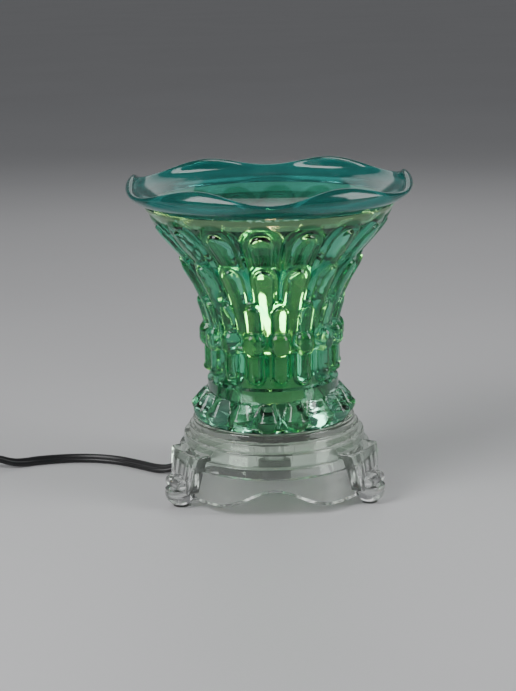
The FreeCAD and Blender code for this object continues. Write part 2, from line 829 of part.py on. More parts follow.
# Cord outlet: an elbow on the stem's lower end with a side arm and a tapered sleeve
def make_outlet():
    body = disc(outlet_radius, outlet_low_z, outlet_high_z)
    body = rounded(body, holder_fillet, lambda e: e.Closed)
    arm = Part.makeCylinder(outlet_arm_radius, outlet_arm_length, V(0, 0, outlet_centre_z),
                            radial(outlet_deg, 1))
    body = body.fuse(arm)
    body = body.cut(disc(tube_radius + thread_air, tube_low_z, outlet_high_z + overrun))
    body = body.cut(disc(tube_bore, outlet_centre_z, tube_low_z + overrun))
    return body


save("cord_outlet", [make_outlet()])
outlet_face = radial(outlet_deg, outlet_arm_length, outlet_centre_z)
gland_mouth = radial(outlet_deg, outlet_arm_length + gland_length, outlet_centre_z)
save("cord_gland", [Part.makeCone(gland_start_radius, gland_end_radius, gland_length, outlet_face,
                                  radial(outlet_deg, 1))])


# Free cord from the outlet to the dimmer
def cord_run(points):
    """A tube on straight runs and tangent arcs, each as large as its runs allow."""
    lengths = [(b - a).Length for a, b in zip(points, points[1:])]
    radii = []
    for k in range(1, len(points) - 1):
        angle = (points[k] - points[k - 1]).getAngle(points[k + 1] - points[k])
        radii.append(0.45 * min(lengths[k - 1], lengths[k]) / math.tan(angle / 2))
    path = rounded_path(points, radii)
    tube = tube_along(path, cord_diameter / 2, points[0], points[1] - points[0])
    expected = path.Length * math.pi * cord_diameter ** 2 / 4
    print("cord run length %.1f, least radius %.1f, volume share %.4f"
          % (path.Length, min(radii), tube.Volume / expected))
    return tube, path.Length


boot_end_x = dimmer_half_length + boot_length
near_boot = V(dimmer_x + boot_end_x, dimmer_y, boot_z)
far_boot = V(dimmer_x - boot_end_x, dimmer_y, boot_z)
straight_out = radial(outlet_deg, outlet_arm_length + gland_length + cord_straight, outlet_centre_z)
free_route = [gland_mouth, straight_out, V(-52.3, 21.2, 5.2), V(-64.5, 23.8, cord_z),
              V(-76.5, 33.4, cord_z), V(-92.5, 44.0, cord_z), V(-112.0, 48.0, cord_z),
              V(-132.0, 45.6, cord_z), V(-148.0, 39.4, cord_z + air), V(-162.0, 38.0, boot_z), near_boot]
free_tube, free_length = cord_run(free_route)
save("cord_free", [free_tube])


# Dimmer
def case_outline(inset, z):
    """The case's plan: straight ends joined by two long arcs."""
    half = dimmer_half_length - inset
    end = dimmer_end_half_width - inset
    wide = dimmer_half_width - inset

    def at(x, y):
        return V(dimmer_x + x, dimmer_y + y, z)

    back = Part.Arc(at(-half, end), at(0, wide), at(half, end)).toShape()
    front = Part.Arc(at(half, -end), at(0, -wide), at(-half, -end)).toShape()
    return Part.Face(Part.Wire([back, line(at(half, end), at(half, -end)), front,
                                line(at(-half, -end), at(-half, end))]))


split_z = dimmer_height / 2
wheel_low = split_z - wheel_thickness / 2
wheel_high = split_z + wheel_thickness / 2
boss_places = [(dimmer_x + side * boss_spread_x, dimmer_y - side * boss_spread_y) for side in (-1, 1)]
case_screw_high = dimmer_height - 2 * dimmer_wall


def wheel_slot():
    room = wheel_radius + 2 * air
    return disc(room, wheel_low - air, wheel_high + air, dimmer_x, dimmer_y)


def make_case_bottom():
    body = case_outline(0, 0).extrude(V(0, 0, split_z))
    body = rounded(body, dimmer_fillet, lambda e: all(v.Z < air for v in e.Vertexes))
    body = body.cut(case_outline(dimmer_wall, dimmer_wall).extrude(V(0, 0, split_z)))
    for x, y in boss_places:
        body = body.fuse(disc(boss_radius, dimmer_wall / 2, split_z, x, y))
        body = body.cut(disc(case_screw_radius + screw_air, -overrun, split_z + overrun, x, y))
        body = body.cut(disc(case_screw_head_radius + screw_air, -overrun, dimmer_wall, x, y))
    return body.cut(wheel_slot())


def make_case_top():
    body = case_outline(0, split_z).extrude(V(0, 0, dimmer_height - split_z))
    body = rounded(body, dimmer_fillet, lambda e: all(v.Z > dimmer_height - air for v in e.Vertexes))
    body = body.cut(case_outline(dimmer_wall, split_z - overrun).extrude(
        V(0, 0, dimmer_height - split_z - dimmer_wall + overrun)))
    for x, y in boss_places:
        body = body.fuse(disc(boss_radius, split_z, dimmer_height - dimmer_wall / 2, x, y))
        body = body.cut(disc(case_screw_radius + thread_air, split_z - overrun, case_screw_high, x, y))
    return body.cut(wheel_slot())


save("dimmer_case_bottom", [make_case_bottom()])
save("dimmer_case_top", [make_case_top()])


def case_screw(x, y):
    head_high = dimmer_wall
    head = disc(case_screw_head_radius, dimmer_wall / 3, head_high, x, y)
    return head.fuse(disc(case_screw_radius, head_high - thread_air, case_screw_high - air, x, y))


save("dimmer_screws", [case_screw(x, y) for x, y in boss_places])


def make_wheel():
    body = disc(wheel_radius, wheel_low, wheel_high, dimmer_x, dimmer_y)
    body = body.cut(disc(spindle_radius + thread_air, wheel_low - overrun, wheel_high + overrun,
                         dimmer_x, dimmer_y))
    cutters = []
    for k in range(wheel_notches):
        spot = radial(360.0 * k / wheel_notches, wheel_radius + notch_radius / 2)
        cutters.append(disc(notch_radius, wheel_low - overrun, wheel_high + overrun,
                            dimmer_x + spot.x, dimmer_y + spot.y))
    return body.cut(cutters)


save("dimmer_wheel", [make_wheel()])
board_low = dimmer_wall + board_lift
board_high = board_low + board_thickness
pot_high = board_high + pot_height
save("dimmer_spindle", [disc(spindle_radius, dimmer_wall + air, wheel_high + spindle_rise,
                             dimmer_x, dimmer_y)])


def make_board():
    body = Part.makeBox(2 * board_half_length, 2 * board_half_width, board_thickness,
                        V(dimmer_x - board_half_length, dimmer_y - board_half_width, board_low))
    for x, y in boss_places:
        body = body.cut(disc(boss_radius + air, board_low - overrun, board_high + overrun, x, y))
    return body.cut(disc(spindle_radius + screw_air, board_low - overrun, board_high + overrun,
                         dimmer_x, dimmer_y))


save("dimmer_board", [make_board()])
triac_x = dimmer_x + board_half_length - triac_length
triac_spot = V(triac_x, dimmer_y + boss_radius + air - boss_spread_y, board_high)
save("dimmer_triac", [Part.makeBox(triac_length, triac_width, triac_height, triac_spot)])
pot = disc(pot_radius, board_high, pot_high, dimmer_x, dimmer_y)
pot = pot.cut(disc(spindle_radius + running_air, board_high - overrun, pot_high + overrun,
                   dimmer_x, dimmer_y))
save("dimmer_pot", [pot])
boots = []
for side in (-1, 1):
    start = V(dimmer_x + side * dimmer_half_length, dimmer_y, boot_z)
    boots.append(Part.makeCone(boot_radius, boot_tip_radius, boot_length, start, V(side, 0, 0)))
save("dimmer_boots", boots)


# Coil of spare cord
def spiral_point(turns, centre_y):
    """The point and heading after this many turns: inwards below, then outwards above."""
    switch = coil_turns
    climb_from = switch - 0.25
    climb_to = switch + 0.25
    along = min(max((turns - climb_from) / (climb_to - climb_from), 0.0), 1.0)
    lift = along - math.sin(2 * math.pi * along) / (2 * math.pi)
    depth = turns if turns < switch else 2 * switch - turns
    blend = 0.25
    off = abs(turns - switch)
    if off < blend:
        depth = switch - (off * off / (2 * blend) + blend / 2)
    reach = coil_outer_radius - coil_pitch * depth
    angle = math.pi / 2 + 2 * math.pi * turns
    return V(coil_x + reach * math.cos(angle), centre_y + reach * math.sin(angle), cord_z + lift * coil_rise)


def biarc(a, a_way, b, b_way):
    """Two tangent arcs from a to b with the given headings."""
    span = b - a
    both = a_way + b_way
    gain = 2 * (1 - a_way.dot(b_way))
    reach = span.dot(both)
    step = (math.sqrt(reach * reach + gain * span.dot(span)) - reach) / gain
    knee_a = a + a_way * step
    knee_b = b - b_way * step
    join = (knee_a + knee_b) * 0.5
    edges = []
    for start, knee, end in ((a, knee_a, join), (join, knee_b, b)):
        chord_mid = (start + end) * 0.5
        rise = knee - chord_mid
        half_chord = (end - start).Length / 2
        turn_angle = math.atan2(rise.Length, half_chord)
        mid = chord_mid + rise * (half_chord * math.tan(turn_angle / 2) / rise.Length)
        edges.append(Part.Arc(start, mid, end).toShape())
    return edges


coil_y = dimmer_y - coil_outer_radius
quarter_count = 4 * 2 * coil_turns + 2
nudge = 1e-4
path_edges = []
coil_points = []
ways = []
for k in range(quarter_count + 1):
    here = spiral_point(k / 4, coil_y)
    way = (spiral_point(k / 4 + nudge, coil_y) - spiral_point(k / 4 - nudge, coil_y)).normalize()
    if k in (0, quarter_count):
        way = V(-1, 0, 0) if k == 0 else V(1, 0, 0)
    coil_points.append(here)
    ways.append(way)
coil_start = coil_points[0] + V(coil_lead, 0, 0)
coil_end = coil_points[-1] + V(coil_lead, 0, 0)
path_edges.append(line(coil_start, coil_points[0]))
for k in range(quarter_count):
    path_edges += biarc(coil_points[k], ways[k], coil_points[k + 1], ways[k + 1])
path_edges.append(line(coil_points[-1], coil_end))
coil_path = Part.Wire(path_edges)
coil = tube_along(coil_path, cord_diameter / 2, coil_start, V(-1, 0, 0))
save("cord_coil", [coil])


def least_self_gap(path, diameter, skip_share=0.5):
    """The least clear gap between turns, measured on points along the path."""
    count = 420
    points = path.discretize(Number=count)
    skip = int(skip_share * count / (2 * coil_turns))
    least = min((points[a] - points[b]).Length for a in range(count) for b in range(a + skip, count))
    return least - diameter


print("coil length %.1f, least gap %.2f, volume share %.4f"
      % (coil_path.Length, least_self_gap(coil_path, cord_diameter),
         coil.Volume / (coil_path.Length * math.pi * cord_diameter ** 2 / 4)))

lead_route = [far_boot, V(-262.0, dimmer_y, boot_z), V(-274.0, dimmer_y, cord_z), coil_start]
lead_tube, lead_length = cord_run(lead_route)
save("cord_lead", [lead_tube])

# Plug
plug_y = coil_points[-1].y
plug_z = plug_height / 2
relief_start = V(plug_tail_x, plug_y, plug_z)
tail_route = [coil_end, V(-276.0, plug_y, coil_end.z), V(-267.0, plug_y, plug_z), relief_start]
tail_tube, tail_length = cord_run(tail_route)
save("cord_tail", [tail_tube])
save("plug_relief", [Part.makeCone(boot_tip_radius, boot_radius, plug_relief_length, relief_start,
                                   V(1, 0, 0))])
plug_back_x = plug_tail_x + plug_relief_length
plug_front_x = plug_back_x + plug_length


def make_plug():
    body = Part.makeBox(plug_length, 2 * plug_half_width, plug_height,
                        V(plug_back_x, plug_y - plug_half_width, 0))
    body = rounded(body, plug_fillet, lambda e: True)
    for side in (-1, 1):
        body = body.cut(Part.makeBox(blade_length, blade_thickness, blade_width,
                                     V(plug_front_x - blade_length / 2, plug_y + side * blade_spread
                                       - blade_thickness / 2, plug_z - blade_width / 2)))
    return body


def plug_blade(side):
    y = plug_y + side * blade_spread - blade_thickness / 2
    start = plug_front_x - blade_length / 2
    tip = plug_front_x + blade_length
    body = Part.makeBox(tip - start, blade_thickness, blade_width, V(start, y, plug_z - blade_width / 2))
    hole = Part.makeCylinder(blade_hole_radius, 3 * blade_thickness,
                             V(tip - 2 * blade_hole_radius, y - blade_thickness, plug_z), V(0, 1, 0))
    return body.cut(hole)


save("plug_body", [make_plug()])
save("plug_blades", [plug_blade(side) for side in (-1, 1)])
print("whole cord %.0f" % (free_length + lead_length + coil_path.Length + tail_length))
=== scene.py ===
import json
import math

import bpy
import numpy as np
from mathutils import Matrix, Vector


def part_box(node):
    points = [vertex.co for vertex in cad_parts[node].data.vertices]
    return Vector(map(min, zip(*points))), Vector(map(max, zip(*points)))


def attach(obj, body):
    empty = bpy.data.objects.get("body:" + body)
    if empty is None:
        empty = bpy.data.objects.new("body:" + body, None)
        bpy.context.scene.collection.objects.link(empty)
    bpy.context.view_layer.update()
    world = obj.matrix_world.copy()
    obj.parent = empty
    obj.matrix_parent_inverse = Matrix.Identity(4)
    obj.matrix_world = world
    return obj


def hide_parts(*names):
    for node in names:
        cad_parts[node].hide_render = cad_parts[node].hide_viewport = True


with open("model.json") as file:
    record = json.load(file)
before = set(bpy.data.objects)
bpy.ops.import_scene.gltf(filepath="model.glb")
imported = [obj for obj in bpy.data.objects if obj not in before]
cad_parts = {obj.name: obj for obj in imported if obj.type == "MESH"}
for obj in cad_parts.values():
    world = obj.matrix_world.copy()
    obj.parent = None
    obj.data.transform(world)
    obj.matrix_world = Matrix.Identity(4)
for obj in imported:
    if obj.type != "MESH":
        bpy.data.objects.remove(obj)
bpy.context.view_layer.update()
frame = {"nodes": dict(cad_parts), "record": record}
mm = 0.001


# Shader maths
class Value:
    """A shader socket that takes Python's operators."""

    def __init__(self, paint, socket):
        self.paint = paint
        self.socket = socket

    def __add__(self, other):
        return self.paint.maths("ADD", self, other)

    def __radd__(self, other):
        return self.paint.maths("ADD", other, self)

    def __sub__(self, other):
        return self.paint.maths("SUBTRACT", self, other)

    def __mul__(self, other):
        return self.paint.maths("MULTIPLY", self, other)

    def __truediv__(self, other):
        return self.paint.maths("DIVIDE", self, other)

    def __pow__(self, other):
        return self.paint.maths("POWER", self, other)


class Paint:
    """A material with one Principled shader and the nodes that feed it."""

    def __init__(self, name, **settings):
        self.material = bpy.data.materials.new(name)
        self.material.use_nodes = True
        self.tree = self.material.node_tree
        self.shader = self.tree.nodes["Principled BSDF"]
        self.place = self.node("ShaderNodeTexCoord", {}, output="Object")
        self.set(**settings)

    def plug(self, socket, value):
        if isinstance(value, Value):
            self.tree.links.new(value.socket, socket)
        elif isinstance(value, tuple) and len(value) == 3 and socket.type == "RGBA":
            socket.default_value = (*value, 1.0)
        else:
            socket.default_value = value

    def set(self, **settings):
        for name, value in settings.items():
            self.plug(self.shader.inputs[name.replace("_", " ")], value)

    def node(self, kind, settings, output=0, **inputs):
        """Any node: its settings first, then its sockets by name or by number as s0, s1."""
        new = self.tree.nodes.new(kind)
        for name, value in settings.items():
            if name == "stops":
                ramp = new.color_ramp
                while len(ramp.elements) < len(value):
                    ramp.elements.new(0.5)
                for element, (spot, colour) in zip(ramp.elements, value):
                    element.position = spot
                    element.color = (*colour, 1.0)
            else:
                setattr(new, name, value)
        for name, value in inputs.items():
            numbered = name[0] == "s" and name[1:].isdigit()
            self.plug(new.inputs[int(name[1:]) if numbered else name.replace("_", " ")], value)
        return Value(self, new.outputs[output])

    def maths(self, operation, a, b=0.0):
        return self.node("ShaderNodeMath", {"operation": operation}, s0=a, s1=b)

    def noise(self, scale, detail=3.0, roughness=0.5, stretch=(1.0, 1.0, 1.0)):
        spot = self.node("ShaderNodeMapping", {}, Vector=self.place, Scale=stretch)
        return self.node("ShaderNodeTexNoise", {}, Vector=spot, Scale=scale, Detail=detail,
                         Roughness=roughness)

    def along(self, axis):
        """The place's own coordinate on one axis, in metres."""
        return self.node("ShaderNodeSeparateXYZ", {}, output=axis, s0=self.place)

    def ramp(self, value, stops):
        return self.node("ShaderNodeValToRGB", {"stops": stops}, s0=value)

    def span(self, value, low, high):
        """The share of the way from low to high, held between 0 and 1."""
        return self.node("ShaderNodeMapRange", {}, s0=value, s1=low, s2=high)

    def mix(self, share, a, b):
        return self.node("ShaderNodeMix", {"data_type": "RGBA"}, output=2, s0=share, s6=a, s7=b)

    def bump(self, height, distance, strength=1.0):
        self.set(Normal=self.node("ShaderNodeBump", {}, Height=height, Distance=distance,
                                  Strength=strength))


def glass(name, tint=None, deep=None, roughness=0.03, ripple=0.00006, ripple_scale=60.0, ior=1.5):
    """Pressed glass with slow ripples; its tint gathers in patches, unless it is set later."""
    paint = Paint(name, Transmission_Weight=1.0, IOR=ior, Metallic=0.0)
    if tint:
        patch = paint.span(paint.noise(35.0, 2.0), 0.35, 0.7)
        paint.set(Base_Color=paint.mix(patch, tint, deep))
    paint.set(Roughness=roughness + paint.noise(120.0, 2.0) * 0.02)
    paint.bump(paint.noise(ripple_scale, 2.0, 0.4), ripple)
    return paint


def plastic(name, colour, roughness, grain=0.00004, grain_scale=2200.0, coat=0.0):
    """Moulded plastic with a fine spark-eroded grain and slightly worn shine."""
    paint = Paint(name, Coat_Roughness=0.2)
    wear = paint.noise(45.0, 4.0, 0.6)
    lighter = tuple(min(1.0, c * 1.5 + 0.01) for c in colour)
    paint.set(Base_Color=paint.mix(paint.span(wear, 0.45, 0.8), colour, lighter))
    paint.set(Roughness=roughness + (wear - 0.5) * 0.25, Coat_Weight=coat)
    paint.bump(paint.noise(grain_scale, 2.0), grain, 0.6)
    return paint


def metal(name, colour, roughness):
    """Plated metal with faint drawing lines."""
    paint = Paint(name, Metallic=1.0)
    lines = paint.noise(900.0, 3.0, 0.6, (1.0, 1.0, 14.0))
    duller = tuple(c * 0.72 for c in colour)
    paint.set(Base_Color=paint.mix(paint.span(paint.noise(160.0, 4.0), 0.4, 0.75), colour, duller))
    paint.set(Roughness=roughness + lines * 0.18)
    paint.bump(lines, 0.00002, 0.5)
    return paint


# The vase's pattern, shared by its tint, its painted crescent shade and its shape: lengths in millimetres,
# angles in degrees
columns = 16
pitch_deg = 360.0 / columns
upper_phase = -94.6
lower_phase = -83.35
vase_low = 41.8
vase_high = 157.0
# These crescents place the painted shade in the heads of the arches, standing in for the deeper green seen
# through their thick glass.
crescents = ((111.8, lower_phase, 40.5), (133.4, upper_phase, 52.0), (154.2, upper_phase, 64.0))
head_edges = (0.60, 0.72, 0.96, 1.06)  # of the half width: the head's inner edge, then its outer
head_foot = (1.5, 0.9)  # half widths below the top between which the head fades in
base_height = 0.042  # metres

clear_glass = glass("clear_glass", roughness=0.02)
clear_glass.set(Base_Color=clear_glass.ramp(clear_glass.along("Z") / base_height, [
    (0.0, (0.985, 0.99, 0.985)), (0.45, (0.95, 0.98, 0.955)), (0.62, (0.80, 0.95, 0.82)),
    (0.85, (0.84, 0.95, 0.82)), (1.0, (0.90, 0.97, 0.88))]), Transmission_Weight=0.93)
outer_glass = glass("vase_outer_glass", roughness=0.025, ripple=0.00005)


def painted_crescent_shade(paint):
    """Where the painted shade falls: a share that is 1 in the thick glass of every arch's head and 0
    elsewhere.
    """
    z = paint.along("Z")
    turn = paint.maths("ARCTAN2", paint.along("Y"), paint.along("X")) / (2 * math.pi)
    total = None
    for top_mm, phase, reach_mm in crescents:
        top, reach = top_mm * mm, reach_mm * mm
        half = math.pi / columns * reach
        turns_on = 2 * columns
        column = paint.maths("FRACT", (turn - phase / 360.0) * columns + 0.5 + turns_on)
        across = paint.maths("ABSOLUTE", column - 0.5) * (2 * math.pi / columns * reach)
        rise = paint.maths("MAXIMUM", z - (top - half), 0.0)
        share = ((across * across + rise * rise) ** 0.5) / half
        inner_low, inner_high, outer_low, outer_high = head_edges
        edge = paint.span(share, inner_low, inner_high) * paint.span(share, outer_high, outer_low)
        above_foot = paint.span(z, top - head_foot[0] * half, top - head_foot[1] * half)
        head = edge * above_foot * paint.span(z, top + mm, top)
        total = head if total is None else paint.maths("MAXIMUM", total, head)
    return total


def vase_tint_and_painted_shade(paint):
    """Paler near the foot and the rim, green between, with painted shade darkening the heads of the arches.
    """
    along = paint.span(paint.along("Z"), vase_low * mm, vase_high * mm)
    plain = paint.ramp(along, [
        (0.0, (0.26, 0.84, 0.54)), (0.07, (0.34, 0.88, 0.60)), (0.13, (0.55, 0.93, 0.72)),
        (0.20, (0.10, 0.60, 0.31)), (0.74, (0.09, 0.54, 0.29)), (0.88, (0.16, 0.76, 0.50)),
        (1.0, (0.60, 0.92, 0.80))])
    # Painted shade: the dark green (0.012, 0.34, 0.18) is laid over the arch heads in place of the depth
    # that thick glass gives.
    paint.set(Base_Color=paint.mix(painted_crescent_shade(paint), plain, (0.012, 0.34, 0.18)))


vase_tint_and_painted_shade(outer_glass)
rim_glass_painted_glow = glass("vase_rim_glass_painted_glow", (0.97, 0.97, 0.86), (0.90, 0.95, 0.80), 0.05)
# Painted glow: the rim glass gives off a faint green light of its own, standing in for lamp light gathered
# in the rim.
rim_glass_painted_glow.set(Emission_Color=(0.50, 0.86, 0.42), Emission_Strength=0.16)
green_glass = glass("vase_green_coat", (0.18, 0.62, 0.30), (0.03, 0.32, 0.15), 0.05, 0.0006, 90.0)
teal_glass = glass("dish_teal_glass", (0.030, 0.36, 0.32), (0.012, 0.24, 0.22), 0.10, 0.00003, 25.0)
teal_glass.set(Transmission_Weight=0.82)
dish_inner = glass("dish_clear_glass", (0.62, 0.80, 0.80), (0.50, 0.72, 0.72), 0.02, 0.00003, 25.0)


def lamp_finish():
    """The lit capsule: white-hot in the middle of its height, warm at its ends."""
    paint = Paint("lit_capsule", Roughness=0.2)
    low, high = (corner[2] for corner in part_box("bulb_capsule"))
    along = paint.span(paint.along("Z"), low, high)
    glow = paint.ramp(along, [(0.0, (1.0, 0.50, 0.15)), (0.35, (1.0, 0.76, 0.34)),
                              (0.7, (1.0, 0.82, 0.42)), (1.0, (1.0, 0.66, 0.26))])
    paint.set(Base_Color=glow, Emission_Color=glow, Emission_Strength=120.0)
    return paint


def bulb_glass_painted_glow():
    """The lamp's thin glass, with a faint warm painted glow of its own standing in for the capsule's light.
    """
    paint = Paint("bulb_glass", Transmission_Weight=1.0, IOR=1.45)
    low, high = (corner[2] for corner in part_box("bulb_reflector"))
    along = paint.span(paint.along("Z"), low, high)
    # Painted glow: warmer towards the bottom, standing in for the capsule's light caught in the glass.
    glow = paint.ramp(along, [(0.0, (1.0, 0.62, 0.22)), (0.45, (1.0, 0.80, 0.36)),
                              (1.0, (0.95, 0.80, 0.42))])
    paint.set(Base_Color=paint.ramp(along, [(0.0, (1.0, 0.92, 0.75)), (1.0, (1.0, 0.97, 0.88))]),
              Roughness=0.05 + paint.noise(300.0) * 0.08, Emission_Color=glow, Emission_Strength=0.05)
    paint.bump(paint.noise(220.0, 1.0), 0.0003, 0.6)
    return paint


def cream_glaze_painted_glow():
    """Glazed ceramic with a faint warm painted glow of its own, standing in for the lamp's light above it.
    """
    paint = Paint("cream_ceramic", Coat_Weight=0.5, Coat_Roughness=0.12)
    speck = paint.noise(400.0, 4.0, 0.7)
    # Painted glow: the warm emission stands in for lamp light falling on the ceramic.
    paint.set(Base_Color=paint.mix(paint.span(speck, 0.5, 0.8), (0.90, 0.86, 0.72), (0.78, 0.72, 0.56)),
              Roughness=0.35 + speck * 0.1, Emission_Color=(1.0, 0.85, 0.45), Emission_Strength=0.05)
    paint.bump(paint.noise(90.0, 2.0), 0.0002)
    return paint


finishes = {
    "clear_glass": clear_glass,
    "green_glass": green_glass,
    "teal_glass": teal_glass,
    "silicone": glass("clear_silicone", (0.93, 0.93, 0.90), (0.88, 0.88, 0.84), 0.28, 0.00005, 400.0, 1.4),
    "zinc_steel": metal("zinc_steel", (0.72, 0.73, 0.75), 0.25),
    "washer_rubber": plastic("washer_rubber", (0.03, 0.03, 0.03), 0.7),
    "ceramic": cream_glaze_painted_glow(),
    "brass": metal("brass_strip", (0.83, 0.62, 0.28), 0.25),
    "wire_sleeve": plastic("wire_sleeve", (0.78, 0.77, 0.72), 0.6),
    "bulb_glass": bulb_glass_painted_glow(),
    "nickel": metal("nickel_plate", (0.80, 0.77, 0.72), 0.14),
    "black_plastic": plastic("black_plastic", (0.012, 0.012, 0.013), 0.34, coat=0.2),
    "black_rubber": plastic("black_rubber", (0.010, 0.010, 0.011), 0.5),
    "cord_black": plastic("black_cord", (0.010, 0.010, 0.011), 0.36, 0.00003),
    "wheel_plastic": plastic("wheel_plastic", (0.030, 0.030, 0.032), 0.55),
    "board": plastic("circuit_board", (0.36, 0.24, 0.10), 0.5)}


def choose(piece):
    """Makes the piece the only selected one and the active one."""
    bpy.ops.object.select_all(action="DESELECT")
    piece.select_set(True)
    bpy.context.view_layer.objects.active = piece


cad_smooth_deg = 24.0
slot_of = {part["node"]: part["material_slot"] for part in frame["record"]["subparts"]}
for name, node in frame["nodes"].items():
    for holder in node.material_slots:
        holder.material = finishes[slot_of[name]].material
    choose(node)
    bpy.ops.object.shade_smooth_by_angle(angle=math.radians(cad_smooth_deg))
frame["nodes"]["bulb_capsule"].material_slots[0].material = lamp_finish().material


# Modelling helpers
double_gap = 0.005 * mm


def begin(add, **settings):
    """Deselects everything, adds a primitive and opens it for editing."""
    bpy.ops.object.select_all(action="DESELECT")
    add(**settings)
    bpy.ops.object.mode_set(mode="EDIT")
    return bpy.context.object


def end(piece, name, materials, smooth_deg=None):
    """Merges doubles, turns faces outwards, closes the edit and names the piece."""
    bpy.ops.mesh.select_all(action="SELECT")
    bpy.ops.mesh.remove_doubles(threshold=double_gap)
    bpy.ops.mesh.normals_make_consistent(inside=False)
    bpy.ops.object.mode_set(mode="OBJECT")
    bpy.ops.object.transform_apply(location=True, rotation=True, scale=True)
    piece.name = name
    piece.data.name = name
    for material in materials:
        piece.data.materials.append(material)
    if smooth_deg:
        bpy.ops.object.shade_smooth_by_angle(angle=math.radians(smooth_deg))
    return piece


def turned(outline, steps):
    """An open turned shell, drawn ring by ring through (radius, height) points in metres."""
    radius, low = outline[0]
    piece = begin(bpy.ops.mesh.primitive_circle_add, vertices=steps, radius=radius, location=(0.0, 0.0, low))
    for next_radius, next_low in outline[1:]:
        bpy.ops.mesh.extrude_region_move(TRANSFORM_OT_translate={"value": (0, 0, next_low - low)})
        share = next_radius / radius
        bpy.ops.transform.resize(value=(share, share, 1), center_override=(0.0, 0.0, next_low))
        radius, low = next_radius, next_low
    return piece


def finish_piece(piece, body, slot, *nodes):
    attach(piece, body)
    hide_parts(*nodes)


def facing_out(face):
    """How far the face looks away from the upright axis, from 1 out to -1 in."""
    return Vector((face.center.x, face.center.y, 0.0)).normalized().dot(face.normal)


# Camera
photo_height_px = 691.0
focal_px = 1587.975
sensor_mm = 36.0
camera_spot = (0.0, -0.82619, 0.286157)
camera_angles = (14.082, -0.531, -1.289)  # pitch down, yaw, roll


def add_camera():
    """The photograph's view: looking a little down along +Y."""
    pitch, yaw, roll = (math.radians(angle) for angle in camera_angles)
    ahead = Vector((math.sin(yaw) * math.cos(pitch), math.cos(yaw) * math.cos(pitch), -math.sin(pitch)))
    right = Vector((math.cos(yaw), -math.sin(yaw), 0.0))
    up = right.cross(ahead)
    right_rolled = right * math.cos(roll) + up * math.sin(roll)
    up_rolled = up * math.cos(roll) - right * math.sin(roll)
    lens = bpy.data.cameras.new("camera")
    lens.sensor_width = sensor_mm
    lens.lens = sensor_mm * focal_px / photo_height_px
    camera = bpy.data.objects.new("camera", lens)
    turn = Matrix((right_rolled, up_rolled, -ahead)).transposed().to_4x4()
    camera.matrix_world = Matrix.Translation(camera_spot) @ turn
    bpy.context.scene.collection.objects.link(camera)
    bpy.context.scene.camera = camera


add_camera()


# Cords: the routes repeat the source's points, in millimetres
cord_low = 2.85
free_route = [(-29.46, 12.50, 11.60), (-40.04, 17.00, 11.60), (-52.3, 21.2, 5.2), (-64.5, 23.8, cord_low),
              (-76.5, 33.4, cord_low), (-92.5, 44.0, cord_low), (-112.0, 48.0, cord_low),
              (-132.0, 45.6, cord_low), (-148.0, 39.4, 3.15), (-162.0, 38.0, 6.5), (-172.0, 38.0, 6.5)]
coil_centre = (-288.0, 0.6)
coil_outer = 37.4
coil_pitch = 6.25
coil_rise = 6.1
turns_down = 3
turns_all = 6.5
swing = 0.25  # turns on each side of the inmost point over which the cord rises and turns back
points_per_turn = 14


def coil_route():
    """Three turns inwards on the floor, then three outwards on top of them."""
    route = []
    for k in range(int(turns_all * points_per_turn)):
        turn = (k + 0.5) / points_per_turn
        along = min(max((turn - turns_down + swing) / (2 * swing), 0.0), 1.0)
        lift = along - math.sin(2 * math.pi * along) / (2 * math.pi)
        depth = turns_down - abs(turn - turns_down)
        if abs(turn - turns_down) < swing:
            depth = turns_down - ((turn - turns_down) ** 2 / (2 * swing) + swing / 2)
        reach = (coil_outer - coil_pitch * depth) / math.cos(math.pi / points_per_turn)
        angle = math.pi / 2 + 2 * math.pi * turn
        route.append((coil_centre[0] + reach * math.cos(angle), coil_centre[1] + reach * math.sin(angle),
                      cord_low + lift * coil_rise))
    return route


def centreline(route):
    """The cord's smooth line: a spline with the route's points as its control points."""
    curve = bpy.data.curves.new("route", "CURVE")
    curve.dimensions = "3D"
    spline = curve.splines.new("NURBS")
    spline.points.add(len(route) - 1)
    for point, spot in zip(spline.points, route):
        point.co = (spot[0] * mm, spot[1] * mm, spot[2] * mm, 1.0)
    spline.order_u = 3
    spline.use_endpoint_u = True
    spline.resolution_u = 8
    holder = bpy.data.objects.new("route", curve)
    bpy.context.scene.collection.objects.link(holder)
    bpy.context.view_layer.update()
    seen = bpy.data.meshes.new_from_object(holder.evaluated_get(bpy.context.evaluated_depsgraph_get()))
    path = [vertex.co.copy() for vertex in seen.vertices]
    bpy.data.objects.remove(holder)
    bpy.data.meshes.remove(seen)
    return path


strand_radius = 1.42 * mm
strand_offset = 1.38 * mm
floor_zone = 5.0 * mm  # below this the cord is let down on the floor
floor_blend = 1.5 * mm
arc_points = 9
arc_step = 35.0
cord_smooth_deg = 50.0


def twin_profile():
    """Two round strands side by side, joined by a thin web: (across, up) points."""
    points = []
    for side, start in ((1, -140), (-1, 40)):
        for k in range(arc_points):
            angle = math.radians(start + arc_step * k)
            points.append((side * strand_offset + strand_radius * math.cos(angle),
                           strand_radius * math.sin(angle)))
    return points


